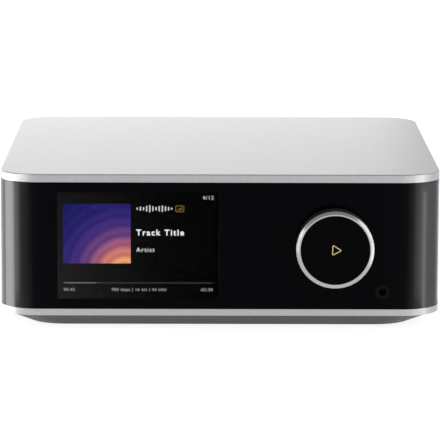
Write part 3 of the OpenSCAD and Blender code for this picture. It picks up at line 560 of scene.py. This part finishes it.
dress_faces("display_module", [display_case, display_painted_reflection], pick_display)
dress_faces("phono_insulators", [core_white, core_red, core_black, core_orange], pick_core)
dress_port("network_port", side=2.05, back=0.2, mouth=0.05, floor=1.3, roof=1.3)
dress_port("data_port", side=1.45, back=4.1, mouth=0.55, floor=3.15, roof=0.85)
dress_port("video_port", side=2.55, back=3.1, mouth=0.55, floor=2.25, roof=2.15)


# Modelling helpers, with sizes and places in millimetres

# Height of a capital letter as a share of the font's size.
CAPITAL_SHARE = 0.729
UPRIGHT = math.radians(90)


def choose(*pieces):
    """Select pieces alone, with the first as the active one."""
    bpy.ops.object.select_all(action="DESELECT")
    for piece in pieces:
        piece.select_set(True)
    bpy.context.view_layer.objects.active = pieces[0]


def fix_place(piece):
    """Put a piece's place, turn and size into its mesh."""
    choose(piece)
    bpy.ops.object.transform_apply(location=True, rotation=True, scale=True)


def take(piece, name, finish, body):
    """Name a piece, fix its place in its mesh, and give it its finish and body."""
    fix_place(piece)
    piece.name = name
    piece.data.name = name
    piece.data.materials.clear()
    piece.data.materials.append(finish)
    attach(piece, body)


def merge(pieces):
    choose(*pieces)
    bpy.ops.object.join()
    return bpy.context.object


def open_mesh():
    bpy.ops.object.mode_set(mode="EDIT")
    bpy.ops.mesh.select_all(action="SELECT")


def round_corners(radius, steps):
    bpy.ops.mesh.bevel(offset=radius * MM, segments=steps, affect="VERTICES")
    bpy.ops.mesh.select_all(action="SELECT")


def keep_rim(width):
    """Cut the middle out of a flat shape, so that a rim of this width is left."""
    bpy.ops.mesh.inset(thickness=width * MM)
    bpy.ops.mesh.delete(type="FACE")
    bpy.ops.mesh.select_all(action="SELECT")


def pull(x, y, z):
    """Draw the chosen faces out by a distance."""
    bpy.ops.mesh.extrude_region_move(TRANSFORM_OT_translate={"value": (x * MM, y * MM, z * MM)})


def close_mesh():
    bpy.ops.mesh.select_all(action="SELECT")
    bpy.ops.mesh.normals_make_consistent(inside=False)
    bpy.ops.object.mode_set(mode="OBJECT")


def upright_sheet(x, y, z, wide, high):
    """A flat upright sheet around a middle point, from which the other shapes are drawn out."""
    place = (x * MM, y * MM, z * MM)
    bpy.ops.mesh.primitive_plane_add(size=1, location=place, rotation=(UPRIGHT, 0, 0))
    piece = bpy.context.object
    piece.scale = (wide * MM, high * MM, 1)
    fix_place(piece)
    return piece


def plate(low, high, rounding, steps=4, rim=None):
    """A thin upright plate with rounded corners, or only the rim of one."""
    (x0, y0, z0), (x1, y1, z1) = low, high
    piece = upright_sheet((x0 + x1) / 2, y1, (z0 + z1) / 2, x1 - x0, z1 - z0)
    open_mesh()
    round_corners(rounding, steps)
    if rim:
        keep_rim(rim)
    pull(0, y0 - y1, 0)
    close_mesh()
    return piece


def strip(x, route, wide, thick):
    """A thin metal strip that follows a route of depths and heights."""
    (y, z), rest = route[0], route[1:]
    piece = upright_sheet(x, y, z, wide, thick)
    open_mesh()
    for next_y, next_z in rest:
        pull(0, next_y - y, next_z - z)
        y, z = next_y, next_z
    close_mesh()
    return piece


def row(piece, count, pitch):
    """A row of copies beside the first piece, as one piece."""
    pieces = [piece]
    for i in range(1, count):
        choose(piece)
        bpy.ops.object.duplicate()
        copy = bpy.context.object
        copy.location.x = i * pitch * MM
        fix_place(copy)
        pieces.append(copy)
    return merge(pieces)


def words(body, size, thick, heavy=0.0, align="LEFT", spacing=1.0):
    """Lettering as a mesh, flat on the ground, with its capitals size high."""
    bpy.ops.object.text_add()
    piece = bpy.context.object
    piece.data.body = body
    piece.data.align_x = align
    piece.data.space_character = spacing
    piece.data.size = size * MM / CAPITAL_SHARE
    piece.data.offset = heavy * MM
    piece.data.extrude = thick * MM / 2
    piece.data.resolution_u = 3
    bpy.ops.object.convert(target="MESH")
    return bpy.context.object


def stand(piece, x, y, z, back=False):
    """Stand lettering up on a front or rear face, with the start of its line at x and z."""
    piece.rotation_euler = (UPRIGHT, 0, math.radians(180) if back else 0)
    piece.location = (x * MM, y * MM, z * MM)
    fix_place(piece)
    return piece


# Picture on the display, laid out from the lower left corner of its window

INK_GAP = 0.005
INK_T = 0.04
INK_BACK = DISPLAY_FACE - INK_GAP
INK_FRONT = INK_BACK - INK_T

COVER_LEFT = 2.64
COVER_RIGHT = 34.05
COVER_LOW = 16.55
COVER_HIGH = 44.6
TEXT_LEFT = 36.6
COUNT_RIGHT = 72.55
COUNT_LOW = 46.6
COUNT_SIZE = 1.9
TITLE_LOW = 29.8
TITLE_SIZE = 2.85
ARTIST_LOW = 22
ARTIST_SIZE = 2.2
BAR_LEFT = 2.8
BAR_PLAYED = 18.1
BAR_RIGHT = 72.2
BAR_GAP = 0.1
BAR_LOW = 7.15
BAR_HIGH = 7.62
FOOT_LEFT = 2.9
FOOT_MIDDLE = 25.1
FOOT_RIGHT = 72.15
FOOT_LOW = 3.55
FOOT_SIZE = 1.5

white_ink = lit_ink("white_ink", grey(250))
pale_ink = lit_ink("pale_ink", grey(206))
grey_ink = lit_ink("grey_ink", tone(176, 176, 178))
mid_ink = lit_ink("mid_ink", grey(112))
faint_ink = lit_ink("faint_ink", grey(48))
gold_ink = lit_ink("gold_ink", tone(146, 116, 42))


def on_screen(left, right, low, high, rounding, **settings):
    """A plate of ink on the display."""
    start = (SCREEN_LEFT + left, INK_FRONT, SCREEN_LOW + low)
    end = (SCREEN_LEFT + right, INK_BACK, SCREEN_LOW + high)
    return plate(start, end, rounding, **settings)


def take_screen(piece, name, finish):
    take(piece, name, finish, "chassis")


def screen_words(name, body, finish, size, x, low, align="LEFT", heavy=0.0, spacing=1.15):
    piece = words(body, size, INK_T, heavy, align, spacing)
    stand(piece, SCREEN_LEFT + x, (INK_BACK + INK_FRONT) / 2, SCREEN_LOW + low)
    take_screen(piece, name, finish)


cover = on_screen(COVER_LEFT, COVER_RIGHT, COVER_LOW, COVER_HIGH, rounding=0.3)
take_screen(cover, "cover_picture", arc_picture())
screen_words("page_count", "4/12", pale_ink, COUNT_SIZE, COUNT_RIGHT, COUNT_LOW, align="RIGHT")
screen_words("title_line", "Track Title", white_ink, TITLE_SIZE, TEXT_LEFT, TITLE_LOW,
             heavy=0.09, spacing=1.24)
screen_words("artist_line", "Artist", white_ink, ARTIST_SIZE, TEXT_LEFT, ARTIST_LOW, spacing=1.2)
screen_words("time_played", "00:45", grey_ink, FOOT_SIZE, FOOT_LEFT, FOOT_LOW)
screen_words("time_left", "-02:30", grey_ink, FOOT_SIZE, FOOT_RIGHT, FOOT_LOW, align="RIGHT")
screen_words("sound_format", "900 kbps | 16 bit | 44 kHz", grey_ink, FOOT_SIZE, FOOT_MIDDLE, FOOT_LOW)
track = on_screen(BAR_PLAYED + BAR_GAP, BAR_RIGHT, BAR_LOW, BAR_HIGH, rounding=0.2)
take_screen(track, "progress_track", faint_ink)
played = on_screen(BAR_LEFT, BAR_PLAYED, BAR_LOW, BAR_HIGH, rounding=0.2)
take_screen(played, "progress_played", mid_ink)

WAVE_LEFT = 36.8
WAVE_MIDDLE = 42.3
WAVE_PITCH = 1.45
WAVE_BAR_W = 0.62
WAVE_HALF = 1.7
WAVE_LEVELS = (0.35, 0.6, 0.45, 0.8, 1.0, 0.7, 0.5, 0.75, 0.9, 0.65, 0.5, 0.3)


def sound_wave():
    """Row of level bars beside the cover picture."""
    bars = []
    for i, level in enumerate(WAVE_LEVELS):
        x = WAVE_LEFT + i * WAVE_PITCH
        half = WAVE_HALF * level
        low, high = WAVE_MIDDLE - half, WAVE_MIDDLE + half
        bars.append(on_screen(x, x + WAVE_BAR_W, low, high, rounding=0.25, steps=3))
    take_screen(merge(bars), "sound_wave", pale_ink)


BADGE_LEFT = 54.8
BADGE_RIGHT = 58.75
BADGE_LOW = 40.8
BADGE_HIGH = 43.75
BADGE_BARS_LEFT = 55.82
BADGE_BARS_LOW = 41.62
BADGE_BAR_PITCH = 0.75
BADGE_BAR_W = 0.42
BADGE_BARS = (0.5, 0.9, 1.3)


def quality_frame():
    """Small gold frame with three rising bars beside the level bars."""
    border = on_screen(BADGE_LEFT, BADGE_RIGHT, BADGE_LOW, BADGE_HIGH, rounding=0.5, steps=5, rim=0.25)
    pieces = [border]
    for i, tall in enumerate(BADGE_BARS):
        x = BADGE_BARS_LEFT + i * BADGE_BAR_PITCH
        high = BADGE_BARS_LOW + tall
        pieces.append(on_screen(x, x + BADGE_BAR_W, BADGE_BARS_LOW, high, rounding=0.1, steps=2))
    take_screen(merge(pieces), "quality_frame", gold_ink)


sound_wave()
quality_frame()


# Symbol on the knob

SYMBOL_R = 3.1
SYMBOL_ROUNDING = 0.95
SYMBOL_LINE = 0.43
SYMBOL_SHIFT = 0.1


def play_symbol():
    """Rounded triangle outline on the knob's face, with one point to the right."""
    bpy.ops.mesh.primitive_circle_add(vertices=3, radius=SYMBOL_R * MM, fill_type="NGON")
    piece = bpy.context.object
    open_mesh()
    round_corners(SYMBOL_ROUNDING, steps=5)
    keep_rim(SYMBOL_LINE)
    pull(0, 0, INK_T)
    close_mesh()
    point = max((v.co for v in piece.data.vertices), key=lambda co: co.xy.length)
    piece.rotation_euler = (UPRIGHT, math.atan2(point.y, point.x), 0)
    piece.location = Vector((KNOB.x + SYMBOL_SHIFT, KNOB_FACE - INK_GAP, KNOB.z)) * MM
    take(piece, "play_symbol", lit_ink("play_ink", tone(206, 184, 138)), "knob")


play_symbol()


# Contacts and lamps in the rear sockets

def contacts(name, port, route, wide, thick, count, pitch):
    """A row of gold contacts, whose route is counted from the port's lowest corner."""
    low = box_mm(port)[0]
    first = middle_x(port) - (count - 1) * pitch / 2
    contact = strip(first, [(low.y + y, low.z + z) for y, z in route], wide, thick)
    take(row(contact, count, pitch), name, contact_gold, "chassis")


SPRING_ROUTE = ((3, 9.4), (6.8, 8.9), (7.8, 9), (13.2, 11.3), (15, 11.6))
BLADE_ROUTE = ((5.2, 3.185), (12.4, 3.185), (13, 3.195))
FINGER_ROUTE = ((4, 3.615), (10.6, 3.615), (11.1, 3.605))

contacts("network_contacts", "network_port", SPRING_ROUTE, wide=0.45, thick=0.22, count=8, pitch=1.02)
contacts("data_contacts", "data_port", BLADE_ROUTE, wide=1.0, thick=0.05, count=4, pitch=7 / 3)
contacts("video_contacts", "video_port", FINGER_ROUTE, wide=0.45, thick=0.05, count=10, pitch=1.0)

LINK_SIDE = 0.9
LINK_W = 3
LINK_T = 0.06
LINK_BELOW = 0.6
LINK_H = 2.2


def link_lamp(name, left, finish):
    """Small lamp in the lower part of the network port's face."""
    low, high = box_mm("network_port")
    z = low.z + LINK_BELOW
    piece = plate((left, high.y, z), (left + LINK_W, high.y + LINK_T, z + LINK_H), rounding=0.3)
    take(piece, name, finish, "chassis")


link_lamp("link_lamp_amber", box_mm("network_port")[0].x + LINK_SIDE, link_amber)
link_lamp("link_lamp_green", box_mm("network_port")[1].x - LINK_SIDE - LINK_W, link_green)


# Printing on the rear panel

PRINT_T = 0.03
LABEL_SIZE = 1.35
LABEL_GAP = 1.4
LABEL_OVER_FRAME = 1.1
LABEL_UNDER_FRAME = 2.3
LABEL_UNDER_EARTH = 7.6
SIDE_LETTER_SIZE = 1.5
SIDE_LETTER_X = 8.3
SIDE_LETTER_DROP = 0.7
PHONO_FRAME_HALF = 6.4
PHONO_FRAME_LOW = phono_low.z - 3.35
PHONO_FRAME_HIGH = phono_high.z + 3.75
MAINS_FRAME_SIDE = 1.2
MAINS_FRAME_BELOW = 2.4


def print_frame(x0, x1, z0, z1):
    """A rounded border line."""
    return plate((x0, PANEL_FACE, z0), (x1, PANEL_FACE + PRINT_T, z1), rounding=1.4, steps=5, rim=0.22)


def print_words(body, x, z, size=LABEL_SIZE, heavy=0.01, spacing=1.12):
    piece = words(body, size, PRINT_T, heavy, "CENTER", spacing)
    return stand(piece, x, PANEL_FACE + PRINT_T / 2, z, back=True)


def print_over(body, node, gap=LABEL_GAP, shift=0.0):
    """A label over a socket."""
    return print_words(body, middle_x(node) + shift, box_mm(node)[1].z + gap)


def rear_printing():
    """Pale frames and plain words on the rear panel, as one print."""
    inlet_low, inlet_high = box_mm("mains_inlet")
    mains_frame_low = inlet_low.z - MAINS_FRAME_BELOW
    columns = [PHONO_FIRST_X - i * PHONO_PITCH for i in range(PHONO_COLUMNS)]
    pieces = []
    for x in columns:
        left, right = x - PHONO_FRAME_HALF, x + PHONO_FRAME_HALF
        pieces.append(print_frame(left, right, PHONO_FRAME_LOW, PHONO_FRAME_HIGH))
    pieces.append(print_frame(inlet_low.x - MAINS_FRAME_SIDE, inlet_high.x + MAINS_FRAME_SIDE,
                              mains_frame_low, inlet_high.z + MAINS_FRAME_SIDE))
    for body, x in zip(("PHONO", "LINE IN", "LINE OUT", "SUB"), columns):
        pieces.append(print_words(body, x, PHONO_FRAME_HIGH + LABEL_OVER_FRAME))
    pieces.append(print_words("COAX", PHONO_LAST_X, PHONO_FRAME_LOW - LABEL_UNDER_FRAME))
    pieces.append(print_over("OPT IN", "optical_in_socket"))
    pieces.append(print_over("OPT OUT", "optical_out_socket", shift=-0.1))
    pieces.append(print_over("VIDEO", "video_port", gap=1.6))
    pieces.append(print_over("DATA", "data_port", gap=1.5))
    pieces.append(print_over("LAN", "network_port"))
    pieces.append(print_over("12 V", "trigger_socket"))
    pieces.append(print_words("AC IN", middle_x("mains_inlet"), mains_frame_low - LABEL_UNDER_FRAME))
    pieces.append(print_words("GND", EARTH.x, EARTH.z - LABEL_UNDER_EARTH))
    for body, z in (("L", PHONO_UPPER_Z), ("R", PHONO_LOWER_Z)):
        x = PHONO_FIRST_X + SIDE_LETTER_X
        pieces.append(print_words(body, x, z - SIDE_LETTER_DROP, SIDE_LETTER_SIZE, heavy=0.02, spacing=1.0))
    take(merge(pieces), "rear_print", print_pale, "chassis")


rear_printing()


# Studio, with sizes and places in metres

FLOOR_SIZE = 30
FLOOR_DROP = 0.0001
FLOOR_PAINT = 0.32
FLOOR_GLOW = 0.89
# Watts that give a square metre of lamp a brightness of 1.
LAMP_WATTS = 4


def add_floor():
    """White ground that shows at an even level, and takes only a faint shadow."""
    bpy.ops.mesh.primitive_plane_add(size=FLOOR_SIZE, location=(0, 0, -FLOOR_DROP))
    floor = bpy.context.object
    floor.name = "studio_floor"
    finish = bpy.data.materials.new("floor_white")
    finish.use_nodes = True
    finish.node_tree.nodes.clear()
    paint = add(finish, "BsdfDiffuse")
    paint.inputs["Color"].default_value = (FLOOR_PAINT, FLOOR_PAINT, FLOOR_PAINT, 1)
    path = add(finish, "LightPath").outputs
    seen = combine(finish, "MAXIMUM", path["Is Camera Ray"], path["Is Glossy Ray"])
    seen = combine(finish, "MAXIMUM", seen, path["Is Transmission Ray"])
    glow = add(finish, "Emission")
    join(finish, ranged(finish, seen, 0, FLOOR_GLOW, 0, 1), glow.inputs["Strength"])
    both = add(finish, "AddShader")
    join(finish, paint.outputs[0], both.inputs[0])
    join(finish, glow.outputs[0], both.inputs[1])
    out = add(finish, "OutputMaterial")
    join(finish, both.outputs[0], out.inputs["Surface"])
    floor.data.materials.append(finish)


def add_sky():
    """Even studio surround, brighter behind the object and darker overhead."""
    world = bpy.data.worlds.new("studio_surround")
    bpy.context.scene.world = world
    world.use_nodes = True
    coords = add(world, "TexCoord")
    direction = split(world, coords.outputs["Generated"])
    depth = ranged(world, direction["Y"], 0.75, 1.0, -0.4, 0.8, smooth=True)
    height = ranged(world, direction["Z"], 1.0, 0.5, 0.1, 0.9, smooth=True)
    air = world.node_tree.nodes["Background"]
    join(world, combine(world, "MULTIPLY", depth, height), air.inputs["Strength"])
    air.inputs["Color"].default_value = (1, 1, 1, 1)


def add_lamp(name, at, aim, wide, high, brightness):
    """Soft lamp with the brightness that its face shows."""
    bpy.ops.object.light_add(type="AREA", location=at)
    lamp = bpy.context.object
    lamp.name = name
    lamp.data.shape = "RECTANGLE"
    lamp.data.size = wide
    lamp.data.size_y = high
    lamp.data.energy = brightness * LAMP_WATTS * wide * high
    lamp.rotation_euler = (Vector(aim) - Vector(at)).to_track_quat("-Z", "Y").to_euler()
    lamp.visible_camera = False


add_floor()
add_sky()

# Narrow lamps close to the front corners make the upright highlights on the black panel.
add_lamp("lamp_left", at=(-0.116, -0.094, 0.036), aim=(-0.0394, -0.1583, 0.036),
         wide=0.0203, high=0.068, brightness=3.2)
add_lamp("lamp_left_side", at=(-0.114, -0.0767, 0.036), aim=(-0.0471, -0.151, 0.036),
         wide=0.0095, high=0.068, brightness=0.7)
add_lamp("lamp_left_low", at=(-0.17, -0.128, 0.03), aim=(0, -0.113, 0.03),
         wide=0.028, high=0.0598, brightness=1.0)
add_lamp("lamp_right", at=(0.127, -0.1073, 0.03), aim=(0.0955, -0.0985, 0.03),
         wide=0.0083, high=0.0598, brightness=1.3)
add_lamp("lamp_right_side", at=(0.163, -0.1004, 0.03), aim=(0.097, -0.097, 0.03),
         wide=0.0139, high=0.0598, brightness=0.2)
add_lamp("lamp_right_front", at=(0.1506, -0.1389, 0.03), aim=(0.097, -0.097, 0.03),
         wide=0.0403, high=0.0598, brightness=1.15)

# Higher and wider lamps brighten the bands and the knob's ring.
add_lamp("lamp_left_high", at=(-0.157, -0.149, 0.1), aim=(-0.094, -0.1, 0.07),
         wide=0.061, high=0.08, brightness=1.6)
add_lamp("lamp_right_high", at=(0.162, -0.132, 0.1), aim=(0.094, -0.1, 0.07),
         wide=0.0576, high=0.08, brightness=1.1)
add_lamp("lamp_right_wide", at=(0.3, -0.6, 0.08), aim=(0.09, -0.09, 0.04),
         wide=0.3, high=0.2, brightness=0.55)

# A broad lamp behind the object lifts the top of the case.
add_lamp("lamp_back", at=(-0.3, 0.6, 0.15), aim=(0, 0, 0.1),
         wide=1.0, high=0.26, brightness=1.1)

bpy.context.scene.view_settings.view_transform = "Standard"
